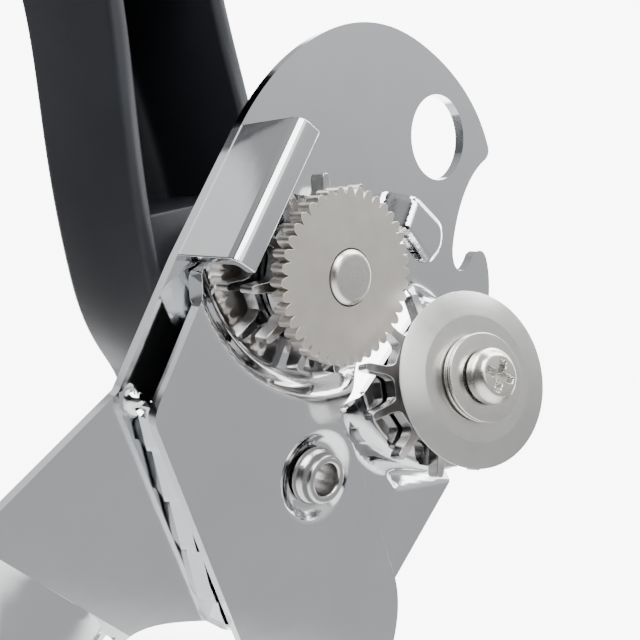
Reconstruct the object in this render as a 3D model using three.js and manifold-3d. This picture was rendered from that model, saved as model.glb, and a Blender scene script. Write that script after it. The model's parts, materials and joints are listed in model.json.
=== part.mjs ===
// Manual can opener: two pressed steel arms crossed at a hollow pivot rivet, a crank that turns a
// serrated feed wheel through the front arm, and a tilted cutter wheel driven by a pair of gears.
//
// Datum while modelling: the pivot axis at the arms' crossing. X is to the right, Z is up towards the
// head, and "fwd" is the distance towards the wheels, which is -Y. Millimetres throughout.
// The finished group is shifted so that the centre of the hanging hole is the origin.

import * as THREE from 'three';
import { mergeVertices } from 'three/addons/utils/BufferGeometryUtils.js';
import Module from 'manifold-3d';

const wasm = await Module();
wasm.setup();

// ---------------------------------------------------------------- driving dimensions

const GAP = 0.3; // clearance between separate pieces
const SHEET = 1.5; // thickness of both pressed arms

// levels of the sheets, front faces, measured forwards of the front arm's face at the pivot
const FRONT_LEVEL = 0;
const CUP_LEVEL = -2.6; // floor of the gear cup
const HEAD_LEVEL = -4.5; // head and neck of the rear arm
const PLATEAU_LEVEL = -2.0; // raised seat of the rear arm behind the pivot
const BACK = HEAD_LEVEL - SHEET;

// pivot
const RIVET_R = 2.6;
const RIVET_BORE_R = 2.0;
const DIMPLE_R = 5.8;
const DIMPLE_DEEP = 1.2;

// crank axis, on the front arm
const FEED_X = -6.0;
const FEED_Z = 24.2;
const SHAFT_R = 3.3;
const FEED_WHEEL_R = 10.5;
const FEED_WHEEL_TEETH = 40;
const GEAR_TEETH = 12;
const FEED_GEAR_R = 12.1;
const GEAR_ROOT_R = 8.4;
const OPENING = 6; // degrees the front arm swings open

// gear cup of the front arm, a round pressing that is wider than the gear
const CUP_X = -6.0;
const CUP_Z = 30.0;
const CUP_RIM_R = 20.9;
const CUP_FLOOR_R = 18.2;

// cutter axis, on the rear arm, leaning towards the feed wheel
const CUTTER_LEAN = THREE.MathUtils.degToRad(22);
const CUTTER_LEAN_TOWARDS = THREE.MathUtils.degToRad(150); // direction in the X-Z plane
const CUTTER_X = 12.9;
const CUTTER_Z = 16.2;
const CUTTER_FWD = 10.8; // centre of the cutting edge
const CUTTER_R = 11.3;
const CUTTER_LAND_R = 8.0;
const CUTTER_GEAR_R = 12.6;
const CUTTER_GEAR_AT = -7.0; // middle of the gear along the cutter axis, from the cutting edge
const GEAR_THICK = 2.2;
const POST_R = 3.0;
const SCREW_R = 1.7;

// raised seat under the cutter, leaning with its axis
const SEAT_AT = -8.7; // front face along the cutter axis
const SEAT_R = 11.6;
const SEAT_FOOT_R = 13.6;
const SEAT_CUT = 7.5; // straight sheared side, from the middle of the seat

// head
const HOLE_X = 13.9;
const HOLE_Z = 49.9;
const HOLE_R = 6.1;

// handles
const HANDLE_W = 18;
const HANDLE_DEEP = 9.5;
const HANDLE_END_Z = -117;
const REAR_HANDLE_X = -29.5;
const FRONT_HANDLE_X = 13.5;

// crank key
const KNOB_FRONT = -22.3;
const KNOB_BACK = -49;
const KNOB_LONG_WING = 50; // from the axis to the end of the upper wing
const KNOB_SHORT_WING = 29;
const KNOB_HALF_W = 11.6;
const KNOB_ANGLE = THREE.MathUtils.degToRad(118.6);
const KNOB_WALL = 2.4;
const KNOB_HUB_R = 6.4;
const KNOB_HUB_BLOCK = 9; // half length of the solid block round the hub

// pieces on the two shafts
const BUSH_R = 4.3;
const WHEEL_BACK = 2.0;
const WHEEL_FRONT = 4.0;
const GEAR_FRONT = 0.8;
const POST_FRONT = 2.4;
const SCREW_END = -5;
const SCREW_TURN = 20; // degrees, how the cross of the screw happens to stand
const RIVET_TOP = 1.7;
const PIVOT_WASHER_THICK = 0.8;

// ---------------------------------------------------------------- materials

const finish = (color, roughness, metalness) =>
  new THREE.MeshStandardMaterial({ color, roughness, metalness });
const chrome = finish(0xc9cccd, 0.12, 1);
const nickel = finish(0xb8b4ae, 0.38, 1);
const groundSteel = finish(0xc4c2c0, 0.3, 1);
const zinc = finish(0xcac9c3, 0.28, 1);
const darkSteel = finish(0x8f8a8c, 0.3, 1);
const blackPlastic = finish(0x1a1c20, 0.45, 0);

// ---------------------------------------------------------------- solids

// One closed body from a geometry: shared corners merged, slivers dropped, faces turned outwards.
function closed(geometry) {
  const bare = geometry.clone();
  bare.deleteAttribute('normal');
  bare.deleteAttribute('uv');
  const merged = mergeVertices(bare, 1e-4);
  const at = merged.attributes.position;
  const corners = merged.index.array;
  const kept = [];
  let volume = 0;
  const [a, b, c] = [new THREE.Vector3(), new THREE.Vector3(), new THREE.Vector3()];
  for (let i = 0; i < corners.length; i += 3) {
    const [p, q, r] = [corners[i], corners[i + 1], corners[i + 2]];
    if (p === q || q === r || r === p) continue;
    a.fromBufferAttribute(at, p);
    b.fromBufferAttribute(at, q);
    c.fromBufferAttribute(at, r);
    volume += a.dot(b.cross(c));
    kept.push(p, q, r);
  }
  if (volume < 0) kept.reverse();
  return { positions: new Float32Array(at.array), triangles: new Uint32Array(kept) };
}

function solid(geometry) {
  const { positions, triangles } = closed(geometry);
  return new wasm.Manifold(
    new wasm.Mesh({ numProp: 3, vertProperties: positions, triVerts: triangles }),
  );
}

function geometryOf(body) {
  const made = body.getMesh();
  const geometry = new THREE.BufferGeometry();
  geometry.setAttribute('position', new THREE.BufferAttribute(made.vertProperties.slice(), 3));
  geometry.setIndex(new THREE.BufferAttribute(made.triVerts.slice(), 1));
  return geometry;
}

// The cuts can leave slivers behind: only the main body is kept.
function mainBody(body) {
  return body.decompose().reduce((best, part) => (part.volume() > best.volume() ? part : best));
}

function piece(name, body, material) {
  const mesh = new THREE.Mesh(geometryOf(mainBody(body)), material);
  mesh.name = name;
  return mesh;
}

// Flat outline in X-Z, from a back level to a front level.
function slab(shape, from, to, curveSegments = 16) {
  const geometry = new THREE.ExtrudeGeometry(shape, {
    depth: to - from,
    bevelEnabled: false,
    curveSegments,
  });
  geometry.translate(0, 0, from);
  geometry.rotateX(Math.PI / 2);
  return solid(geometry);
}

function outline(points) {
  const shape = new THREE.Shape();
  points.forEach(([x, z], i) => (i ? shape.lineTo(x, z) : shape.moveTo(x, z)));
  shape.closePath();
  return shape;
}

// Outline whose corners are rounded: each point is [x, z, radius].
function roundedOutline(points) {
  const shape = new THREE.Shape();
  const count = points.length;
  points.forEach(([x, z, radius = 0], i) => {
    const corner = new THREE.Vector2(x, z);
    const before = new THREE.Vector2(...points[(i + count - 1) % count].slice(0, 2)).sub(corner);
    const after = new THREE.Vector2(...points[(i + 1) % count].slice(0, 2)).sub(corner);
    const half = Math.abs(before.angle() - after.angle()) / 2;
    const reach = radius / Math.abs(Math.tan(half));
    const start = corner.clone().addScaledVector(before.normalize(), reach);
    const end = corner.clone().addScaledVector(after.normalize(), reach);
    if (i) shape.lineTo(start.x, start.y);
    else shape.moveTo(start.x, start.y);
    if (radius) shape.quadraticCurveTo(corner.x, corner.y, end.x, end.y);
  });
  shape.closePath();
  return shape;
}

function disc(x, z, radius) {
  return new THREE.Shape().absarc(x, z, radius, 0, Math.PI * 2);
}

// Body turned about the forward axis through (x, z): the profile is [radius, level] pairs.
function turned(profile, x = 0, z = 0, segments = 48) {
  const points = profile.map(([radius, level]) => new THREE.Vector2(radius, level));
  if (profile[0][0] > 0) points.push(points[0].clone());
  const geometry = new THREE.LatheGeometry(points, segments);
  geometry.rotateX(Math.PI);
  geometry.translate(x, 0, z);
  return solid(geometry);
}

// Skin between loops of equal point counts, closed with a fan at both ends.
function lofted(loops) {
  const count = loops[0].length;
  const positions = loops.flat().flatMap((p) => [p.x, p.y, p.z]);
  const index = [];
  for (let ring = 0; ring + 1 < loops.length; ring += 1) {
    for (let i = 0; i < count; i += 1) {
      const a = ring * count + i;
      const b = ring * count + ((i + 1) % count);
      index.push(a, b, b + count, a, b + count, a + count);
    }
  }
  [0, loops.length - 1].forEach((ring, side) => {
    const middle = loops[ring]
      .reduce((sum, p) => sum.add(p), new THREE.Vector3())
      .divideScalar(count);
    const hub = positions.length / 3;
    positions.push(middle.x, middle.y, middle.z);
    for (let i = 0; i < count; i += 1) {
      const a = ring * count + i;
      const b = ring * count + ((i + 1) % count);
      if (side) index.push(hub, a, b);
      else index.push(hub, b, a);
    }
  });
  const geometry = new THREE.BufferGeometry();
  geometry.setAttribute('position', new THREE.Float32BufferAttribute(positions, 3));
  geometry.setIndex(index);
  return solid(geometry);
}

const at = (x, z, fwd) => new THREE.Vector3(x, -fwd, z);

// ---------------------------------------------------------------- cutter axis frame

// Unit vectors: along the leaning axis, and two across it.
const cutterAxis = at(
  Math.sin(CUTTER_LEAN) * Math.cos(CUTTER_LEAN_TOWARDS),
  Math.sin(CUTTER_LEAN) * Math.sin(CUTTER_LEAN_TOWARDS),
  Math.cos(CUTTER_LEAN),
);
const cutterCentre = at(CUTTER_X, CUTTER_Z, CUTTER_FWD);
const leanDirection = at(Math.cos(CUTTER_LEAN_TOWARDS), Math.sin(CUTTER_LEAN_TOWARDS), 0);
const cutterSide = new THREE.Vector3().crossVectors(cutterAxis, leanDirection).normalize();
const cutterNear = new THREE.Vector3().crossVectors(cutterSide, cutterAxis).normalize();

const onCutter = (radius, angle, along) =>
  cutterCentre
    .clone()
    .addScaledVector(cutterAxis, along)
    .addScaledVector(cutterNear, radius * Math.cos(angle))
    .addScaledVector(cutterSide, radius * Math.sin(angle));

// Moves a body made about the +Y-back frame origin onto the cutter axis.
const cutterPlacing = new THREE.Matrix4().makeBasis(
  cutterNear,
  cutterAxis.clone().negate(),
  new THREE.Vector3().crossVectors(cutterNear, cutterAxis.clone().negate()),
);
cutterPlacing.setPosition(cutterCentre);

function onCutterAxis(body) {
  return body.transform(cutterPlacing.toArray());
}

// ---------------------------------------------------------------- rear arm

// Head with a domed top, a bottle opener's claw on the right and the bracket's straight left side.
function headOutline() {
  const shape = new THREE.Shape();
  shape.moveTo(-27.0, 6.1);
  shape.lineTo(-24.1, 21.2);
  shape.lineTo(-20.2, 36.9);
  shape.bezierCurveTo(-18.2, 46, -10.5, 60.6, 6, 60.6);
  shape.bezierCurveTo(15.5, 60.6, 22.0, 57.6, 26.2, 53.2);
  shape.quadraticCurveTo(27.0, 52.2, 26.0, 51.0);
  shape.bezierCurveTo(22.6, 47.4, 21.9, 42, 22.4, 37.6);
  shape.bezierCurveTo(22.6, 34.6, 23.8, 32.8, 25.6, 32.8);
  shape.quadraticCurveTo(27.6, 32.9, 28.2, 36.2);
  shape.quadraticCurveTo(30.0, 38.2, 31.8, 36.6);
  shape.bezierCurveTo(35.6, 32.5, 36.2, 25, 35.6, 18);
  shape.bezierCurveTo(35.2, 11.5, 34.6, 6, 31.6, 1.6);
  shape.lineTo(22.4, -14.2);
  shape.lineTo(18.6, -19.4);
  shape.bezierCurveTo(10, -22.4, -2, -20.2, -8, -19.0);
  shape.lineTo(-13.7, -18.7);
  shape.quadraticCurveTo(-20.4, -19.0, REAR_HANDLE_X + HANDLE_W / 2, -26);
  shape.lineTo(REAR_HANDLE_X - HANDLE_W / 2, -26);
  shape.lineTo(REAR_HANDLE_X - HANDLE_W / 2, -14);
  shape.quadraticCurveTo(-38.0, -9.6, -36.0, -6.5);
  shape.closePath();
  return shape;
}

// The seat behind the pivot, down to the arm's lower edge.
function plateauOutline() {
  return outline([
    [-25.0, 5.6],
    [-19.0, 3.6],
    [-11.0, 3.9],
    [-5.0, 7.6],
    [4.5, 8.9],
    [18.5, -1.0],
    [40.0, 2.5],
    [40.0, -25.0],
    [-4.0, -25.0],
    [-8.0, -19.0],
  ]);
}

// Upright walls that join the head's level to the plateau's level.
function plateauWalls() {
  const band = outline([
    [-25.0, 5.6],
    [-19.0, 3.6],
    [-11.0, 3.9],
    [-5.0, 7.6],
    [4.5, 8.9],
    [4.2, 7.3],
    [-1.0, 7.2],
    [-4.8, 6.1],
    [-11.0, 2.4],
    [-19.2, 2.1],
    [-22.6, 3.4],
    [-7.6, -17.6],
    [-8.0, -19.0],
    [-9.4, -18.8],
  ]);
  return slab(band, BACK, PLATEAU_LEVEL);
}

function seatLoops(inset, top, foot) {
  const rim = [];
  const base = [];
  const count = 56;
  for (let i = 0; i < count; i += 1) {
    const angle = (i / count) * Math.PI * 2;
    rim.push(onCutter(SEAT_R - inset, angle, top));
    const middle = onCutter(0, 0, SEAT_AT);
    const spread = SEAT_FOOT_R - inset;
    const across = rim[i].clone().sub(middle);
    const flat = new THREE.Vector3(across.x, 0, across.z).normalize();
    base.push(at(middle.x + flat.x * spread, middle.z + flat.z * spread, foot));
  }
  return [base, rim];
}

// Half-space beyond the seat's sheared side, as a large slab.
function pastShear(offset) {
  const middle = onCutter(0, 0, SEAT_AT);
  const near = new THREE.Vector2(leanDirection.x, leanDirection.z);
  const side = new THREE.Vector2(-near.y, near.x);
  const far = 80;
  const start = new THREE.Vector2(middle.x, middle.z).addScaledVector(near, SEAT_CUT + offset);
  const corners = [
    start.clone().addScaledVector(side, far),
    start.clone().addScaledVector(side, -far),
    start.clone().addScaledVector(side, -far).addScaledVector(near, far),
    start.clone().addScaledVector(side, far).addScaledVector(near, far),
  ];
  return slab(outline(corners.map((p) => [p.x, p.y])), -60, 60);
}

function cutterSeat() {
  const outer = lofted(seatLoops(0, SEAT_AT, BACK));
  const inner = lofted(seatLoops(SHEET, SEAT_AT - SHEET, BACK - 1));
  return { outer, inner, shell: outer.subtract(inner).subtract(pastShear(0)) };
}

// Bracket folded forwards from the left side, then over, parallel to the arm.
function sideTab() {
  const reach = 10.3;
  const lip = 3.1;
  const round = 1.4;
  const inner = 0.4;
  const section = new THREE.Shape();
  section.moveTo(0, BACK);
  section.lineTo(0, BACK + reach + SHEET - round);
  section.quadraticCurveTo(0, BACK + reach + SHEET, round, BACK + reach + SHEET);
  section.lineTo(lip, BACK + reach + SHEET);
  section.lineTo(lip, BACK + reach);
  section.lineTo(SHEET + inner, BACK + reach);
  section.quadraticCurveTo(SHEET, BACK + reach, SHEET, BACK + reach - inner);
  section.lineTo(SHEET, BACK);
  section.closePath();
  const length = 17;
  const geometry = new THREE.ExtrudeGeometry(section, {
    depth: length,
    bevelEnabled: false,
    curveSegments: 5,
  });
  // section x runs inwards, section y runs forwards, the length runs up the arm's side
  const along = new THREE.Vector2(3.9, 15.7).normalize();
  const place = new THREE.Matrix4().makeBasis(
    at(along.y, -along.x, 0),
    at(0, 0, 1),
    at(along.x, along.y, 0),
  );
  place.setPosition(at(-23.9, 21.6, 0));
  geometry.applyMatrix4(place);
  return solid(geometry);
}

const GUIDE_LEVEL = 0.5;
const guideCorners = [
  [4.1, 33.9, 1],
  [12.8, 30.4, 1.2],
  [15.2, 33.4, 1.6],
  [14.2, 36.8, 1.6],
  [4.9, 38.8, 0.6],
];

// Lug lanced out of the head that rests on the can's rim.
function rimGuide() {
  const flange = slab(roundedOutline(guideCorners), GUIDE_LEVEL - SHEET, GUIDE_LEVEL, 5);
  const riser = slab(
    outline([
      [4.1, 33.9],
      [5.6, 33.4],
      [6.4, 38.5],
      [4.9, 38.8],
    ]),
    BACK,
    GUIDE_LEVEL - 0.4,
  );
  return flange.add(riser);
}

function rimGuideWindow() {
  return slab(
    outline([
      [5.6, 34.2],
      [12.4, 31.4],
      [14.2, 33.6],
      [13.4, 36.0],
      [6.2, 37.6],
    ]),
    BACK - 1,
    HEAD_LEVEL + 1,
  );
}

// Slot that lets the crank's sleeve swing with the front arm.
function shaftSlot() {
  const half = 4.7;
  const reach = Math.hypot(FEED_X, FEED_Z);
  const rest = Math.atan2(FEED_Z, FEED_X);
  const open = rest + THREE.MathUtils.degToRad(OPENING);
  const shape = new THREE.Shape();
  shape.absarc(0, 0, reach + half, rest, open, false);
  shape.absarc(reach * Math.cos(open), reach * Math.sin(open), half, open, open + Math.PI, false);
  shape.absarc(0, 0, reach - half, open, rest, true);
  shape.absarc(FEED_X, FEED_Z, half, rest + Math.PI, rest + Math.PI * 2, false);
  return slab(shape, BACK - 1, HEAD_LEVEL + 1, 12);
}

// Handle: a channel with a rounded front, open at the back, with a round lower end.
function handle(middleX, crown, topZ) {
  const half = HANDLE_W / 2;
  const section = new THREE.Shape();
  section.moveTo(-half, crown - HANDLE_DEEP);
  section.lineTo(-half, crown - half * 0.72);
  section.absellipse(0, crown - half * 0.72, half, half * 0.72, Math.PI, 0, true);
  section.lineTo(half, crown - HANDLE_DEEP);
  section.lineTo(half - SHEET, crown - HANDLE_DEEP);
  section.lineTo(half - SHEET, crown - half * 0.72);
  section.absellipse(
    0,
    crown - half * 0.72,
    half - SHEET,
    half * 0.72 - SHEET,
    0,
    Math.PI,
    false,
  );
  section.lineTo(-half + SHEET, crown - HANDLE_DEEP);
  section.closePath();
  const geometry = new THREE.ExtrudeGeometry(section, {
    depth: topZ - HANDLE_END_Z,
    bevelEnabled: false,
    curveSegments: 14,
  });
  const place = new THREE.Matrix4().makeBasis(at(1, 0, 0), at(0, 0, 1), at(0, -1, 0));
  place.setPosition(at(middleX, topZ, 0));
  geometry.applyMatrix4(place);
  const end = new THREE.Shape();
  end.moveTo(middleX - half - 1, topZ + 1);
  end.lineTo(middleX - half - 1, HANDLE_END_Z + half);
  end.absellipse(middleX, HANDLE_END_Z + half, half + 1, half, Math.PI, Math.PI * 2, false);
  end.lineTo(middleX + half + 1, topZ + 1);
  end.closePath();
  return solid(geometry).intersect(slab(end, crown - 30, crown + 30, 14));
}

// Strip of edge flange folded back along a line of points, each [x, z].
function edgeFlange(points, from, to) {
  const inner = [];
  points.forEach(([x, z], i) => {
    const [bx, bz] = points[Math.max(i - 1, 0)];
    const [ax, az] = points[Math.min(i + 1, points.length - 1)];
    const normal = new THREE.Vector2(az - bz, bx - ax).normalize();
    inner.unshift([x + normal.x * SHEET, z + normal.y * SHEET]);
  });
  return slab(outline([...points, ...inner]), from, to);
}

function rearArm() {
  const seat = cutterSeat();
  const head = headOutline();
  const flat = slab(head, BACK, HEAD_LEVEL, 14);
  const plateau = turned(
    [
      [0, PLATEAU_LEVEL - SHEET - DIMPLE_DEEP + 0.1],
      [DIMPLE_R - 0.4, PLATEAU_LEVEL - SHEET - DIMPLE_DEEP + 0.1],
      [DIMPLE_R + 0.7, PLATEAU_LEVEL - SHEET],
      [70, PLATEAU_LEVEL - SHEET],
      [70, PLATEAU_LEVEL],
      [DIMPLE_R + 1.2, PLATEAU_LEVEL],
      [DIMPLE_R + 0.1, PLATEAU_LEVEL - DIMPLE_DEEP + 0.1],
      [0, PLATEAU_LEVEL - DIMPLE_DEEP + 0.1],
    ],
  )
    .intersect(slab(plateauOutline(), -20, 20))
    .intersect(slab(head, -20, 20, 14));
  const lowSide = slab(plateauOutline(), BACK - 1, PLATEAU_LEVEL - SHEET);
  const handleTop = -22;
  const flangeBack = HEAD_LEVEL - 6;
  const outerFlange = edgeFlange(
    [
      [REAR_HANDLE_X - HANDLE_W / 2, -26],
      [REAR_HANDLE_X - HANDLE_W / 2, -14],
      [-37.7, -9.6],
      [-36.0, -6.5],
      [-28.3, 4.3],
    ],
    flangeBack,
    HEAD_LEVEL - 0.2,
  );
  return flat
    .subtract(lowSide)
    .add(plateau)
    .add(plateauWalls())
    .subtract(seat.inner.subtract(pastShear(0)))
    .subtract(seat.outer.subtract(pastShear(1.1)).intersect(pastShear(-0.05)))
    .add(seat.shell)
    .subtract(rimGuideWindow())
    .add(rimGuide())
    .add(sideTab())
    .add(outerFlange)
    .add(handle(REAR_HANDLE_X, HEAD_LEVEL + 1.0, handleTop))
    .subtract(slab(disc(HOLE_X, HOLE_Z, HOLE_R), -20, 20, 40))
    .subtract(shaftSlot())
    .subtract(slab(disc(0, 0, RIVET_R + GAP), -20, 20, 24))
    .subtract(onCutterAxis(rod(POST_R + GAP, SEAT_AT - 8, SEAT_AT + 3)));
}

// ---------------------------------------------------------------- front arm

function frontOutline() {
  const outer = FRONT_HANDLE_X + HANDLE_W / 2;
  const inner = FRONT_HANDLE_X - HANDLE_W / 2;
  const shape = new THREE.Shape();
  shape.moveTo(-21.8, 20.6);
  shape.lineTo(-22.8, 16.4);
  shape.lineTo(-24.2, 8.7);
  shape.lineTo(-25.1, 4.5);
  shape.lineTo(-6.7, -19.5);
  shape.quadraticCurveTo(inner, -33.5, inner, -40);
  shape.lineTo(outer, -40);
  shape.lineTo(outer, -21.5);
  shape.quadraticCurveTo(outer, -16.8, 19.8, -13.4);
  shape.lineTo(4.8, 4.7);
  shape.lineTo(1.3, 8.2);
  shape.lineTo(6.5, 18.0);
  shape.lineTo(7.4, 20.2);
  shape.bezierCurveTo(8.4, 24, 6.5, 31.5, -3, 33);
  shape.quadraticCurveTo(-9, 33.9, -13.6, 31.9);
  shape.closePath();
  return shape;
}

// Round sheet pressed backwards in the middle; wider than the arm, so it is trimmed to its outline.
function pressedCup() {
  const slope = CUP_RIM_R - CUP_FLOOR_R;
  const wide = CUP_RIM_R + 70;
  return turned(
    [
      [0, CUP_LEVEL - SHEET],
      [CUP_FLOOR_R + 0.5, CUP_LEVEL - SHEET],
      [CUP_FLOOR_R + slope + 0.5, FRONT_LEVEL - SHEET],
      [wide, FRONT_LEVEL - SHEET],
      [wide, FRONT_LEVEL],
      [CUP_RIM_R, FRONT_LEVEL],
      [CUP_FLOOR_R, CUP_LEVEL],
      [0, CUP_LEVEL],
    ],
    CUP_X,
    CUP_Z,
    72,
  );
}

function pivotDimple(level, grow) {
  const floor = level - DIMPLE_DEEP;
  return turned([
    [0, floor - SHEET],
    [DIMPLE_R - 0.4, floor - SHEET],
    [DIMPLE_R + 0.9, level - SHEET],
    [DIMPLE_R + grow, level - SHEET],
    [DIMPLE_R + grow, level],
    [DIMPLE_R, level],
    [DIMPLE_R - 1.3, floor],
    [0, floor],
  ]);
}

function frontArm() {
  const trim = slab(frontOutline(), -20, 20, 14);
  const clearance = slab(disc(0, 0, DIMPLE_R + 1.2), -20, 20, 24);
  return pressedCup()
    .subtract(clearance)
    .add(pivotDimple(FRONT_LEVEL, 1.6))
    .intersect(trim)
    .add(handle(FRONT_HANDLE_X, FRONT_LEVEL + 1.0, -37))
    .subtract(rod(RIVET_R + GAP, -10, 10))
    .subtract(rod(BUSH_R + GAP, -10, 10, FEED_X, FEED_Z));
}

// ---------------------------------------------------------------- round pieces

function rod(radius, from, to, x = 0, z = 0, segments = 40) {
  return turned([[0, from], [radius, from], [radius, to], [0, to]], x, z, segments);
}

function ring(bore, radius, from, to, x = 0, z = 0, segments = 40) {
  const profile = [[bore, from], [radius, from], [radius, to], [bore, to]];
  return turned(profile, x, z, segments);
}

function pivotRivet() {
  const backHead = PLATEAU_LEVEL - SHEET - DIMPLE_DEEP - PIVOT_WASHER_THICK - 2 * GAP;
  const seat = FRONT_LEVEL - DIMPLE_DEEP + GAP;
  return turned([
    [RIVET_BORE_R, backHead - 1.0],
    [3.6, backHead - 1.0],
    [4.2, backHead - 0.4],
    [4.2, backHead],
    [RIVET_R, backHead],
    [RIVET_R, seat],
    [3.5, seat],
    [3.5, seat + 0.9],
    [3.0, seat + 1.2],
    [3.0, RIVET_TOP - 0.3],
    [2.7, RIVET_TOP],
    [2.2, RIVET_TOP],
    [RIVET_BORE_R, RIVET_TOP - 0.2],
  ]);
}

function pivotWasher() {
  const front = PLATEAU_LEVEL - SHEET - DIMPLE_DEEP - GAP + 0.1;
  return ring(RIVET_R + GAP, 4.9, front - PIVOT_WASHER_THICK, front);
}

// Wheel with evenly spaced teeth: the corners of one tooth are [turn within the pitch, radius].
function toothed(teeth, corners, from, to, bore, phase) {
  const pitch = (Math.PI * 2) / teeth;
  const points = [];
  for (let tooth = 0; tooth < teeth; tooth += 1) {
    corners.forEach(([turn, radius]) => {
      const angle = phase + (tooth + turn) * pitch;
      points.push([radius * Math.cos(angle), radius * Math.sin(angle)]);
    });
  }
  const shape = outline(points);
  shape.holes.push(new THREE.Path().absarc(0, 0, bore, 0, Math.PI * 2, true));
  return slab(shape, from, to, 20);
}

// Long narrow teeth with a little taper and blunt ends.
function gear(radius, from, to, bore, phase) {
  const corners = [
    [-0.21, GEAR_ROOT_R],
    [-0.13, GEAR_ROOT_R + 0.8],
    [-0.085, radius - 0.3],
    [-0.06, radius],
    [0.06, radius],
    [0.085, radius - 0.3],
    [0.13, GEAR_ROOT_R + 0.8],
    [0.21, GEAR_ROOT_R],
  ];
  return toothed(GEAR_TEETH, corners, from, to, bore, phase);
}

// ---------------------------------------------------------------- crank group

function driveShaft() {
  return turned(
    [
      [0, KNOB_BACK + 5],
      [SHAFT_R, KNOB_BACK + 5],
      [SHAFT_R, WHEEL_FRONT + 0.2],
      [SHAFT_R - 0.4, WHEEL_FRONT + 0.6],
      [SHAFT_R - 0.7, WHEEL_FRONT + 0.7],
      [0, WHEEL_FRONT + 0.7],
    ],
    FEED_X,
    FEED_Z,
    32,
  );
}

function feedGear() {
  const hub = ring(SHAFT_R + GAP, 5.2, GEAR_FRONT - 0.5, WHEEL_BACK - GAP, 0, 0, 40);
  const bore = SHAFT_R + GAP;
  return gear(FEED_GEAR_R, GEAR_FRONT - GEAR_THICK, GEAR_FRONT, bore, feedPhase)
    .add(hub)
    .translate(FEED_X, 0, FEED_Z);
}

function feedWheel() {
  const corners = [
    [-0.5, FEED_WHEEL_R - 1.0],
    [-0.2, FEED_WHEEL_R - 0.1],
    [0, FEED_WHEEL_R],
    [0.2, FEED_WHEEL_R - 0.1],
  ];
  const dish = ring(0.5, 4.4, WHEEL_FRONT - 0.3, WHEEL_FRONT + 1, 0, 0, 32);
  return toothed(FEED_WHEEL_TEETH, corners, WHEEL_BACK, WHEEL_FRONT, SHAFT_R + GAP, 0)
    .subtract(dish)
    .translate(FEED_X, 0, FEED_Z);
}

// Bar along +X with a broad middle, a long wing and a shorter, narrower one, both with round ends.
function knobOutline(inset) {
  const long = KNOB_LONG_WING - inset;
  const short = KNOB_SHORT_WING - inset;
  const wide = KNOB_HALF_W - inset;
  const tip = 8.8 - inset;
  const point = 7.6 - inset;
  const shape = new THREE.Shape();
  shape.moveTo(0, -wide);
  shape.bezierCurveTo(long * 0.4, -wide, long * 0.6, -tip, long - tip, -tip);
  shape.absarc(long - tip, 0, tip, -Math.PI / 2, Math.PI / 2, false);
  shape.bezierCurveTo(long * 0.6, tip, long * 0.4, wide, 0, wide);
  shape.bezierCurveTo(-short * 0.45, wide, -short * 0.5, point, -short + point, point);
  shape.absarc(-short + point, 0, point, Math.PI / 2, Math.PI * 1.5, false);
  shape.bezierCurveTo(-short * 0.5, -point, -short * 0.45, -wide, 0, -wide);
  return shape;
}

function crankKnob() {
  const floor = KNOB_BACK + KNOB_WALL;
  const shell = slab(knobOutline(0), KNOB_BACK, KNOB_FRONT, 12);
  const hollow = slab(knobOutline(KNOB_WALL), floor, KNOB_FRONT + 1, 12);
  const across = KNOB_HALF_W - 1;
  const block = outline([
    [-KNOB_HUB_BLOCK, -across],
    [KNOB_HUB_BLOCK, -across],
    [KNOB_HUB_BLOCK, across],
    [-KNOB_HUB_BLOCK, across],
  ]);
  return shell
    .subtract(hollow)
    .add(slab(block, floor - 0.5, KNOB_FRONT - 3).intersect(shell))
    .add(rod(KNOB_HUB_R, floor - 0.5, KNOB_FRONT))
    .subtract(rod(SHAFT_R + GAP, KNOB_BACK + 4.5, KNOB_FRONT + 1))
    .rotate([0, -THREE.MathUtils.radToDeg(KNOB_ANGLE), 0])
    .translate(FEED_X, 0, FEED_Z);
}

// ---------------------------------------------------------------- cutter group

function cutterWheel() {
  return turned(
    [
      [POST_R + GAP, -1.6],
      [9.4, -1.6],
      [CUTTER_R, -0.2],
      [CUTTER_R, 0],
      [CUTTER_LAND_R, 0.7],
      [POST_R + GAP, 0.7],
    ],
    0,
    0,
    72,
  );
}

function cutterGear() {
  const half = GEAR_THICK / 2;
  return gear(
    CUTTER_GEAR_R,
    CUTTER_GEAR_AT - half,
    CUTTER_GEAR_AT + half,
    POST_R + GAP,
    cutterPhase,
  );
}

function cutterPost() {
  const back = SEAT_AT - SHEET - GAP;
  return turned([
    [0, back - 1.2],
    [4.2, back - 1.2],
    [4.8, back - 0.6],
    [4.8, back],
    [POST_R, back],
    [POST_R, POST_FRONT],
    [SCREW_R + GAP, POST_FRONT],
    [SCREW_R + GAP, SCREW_END - GAP],
    [0, SCREW_END - GAP],
  ]);
}

function cutterScrew() {
  const under = POST_FRONT + GAP;
  const blade = (angle) => {
    const half = new THREE.Shape();
    half.moveTo(-2, -0.42);
    half.lineTo(2, -0.42);
    half.lineTo(2, 0.42);
    half.lineTo(-2, 0.42);
    half.closePath();
    return slab(half, under + 1.0, under + 4).rotate([0, angle, 0]);
  };
  return turned([
    [0, SCREW_END],
    [SCREW_R, SCREW_END],
    [SCREW_R, under],
    [3.45, under],
    [3.45, under + 1.2],
    [3.0, under + 1.85],
    [2.1, under + 2.2],
    [0, under + 2.35],
  ])
    .subtract(blade(SCREW_TURN))
    .subtract(blade(SCREW_TURN + 90));
}

// ---------------------------------------------------------------- assembly

const meshingAngle = Math.atan2(CUTTER_Z - FEED_Z, CUTTER_X - FEED_X);
const toothPitch = (Math.PI * 2) / GEAR_TEETH;
const feedPhase = meshingAngle + toothPitch / 2; // a gap of the feed gear faces the cutter
const cutterPhase = 0; // a tooth of the cutter's gear points at the feed gear

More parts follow.
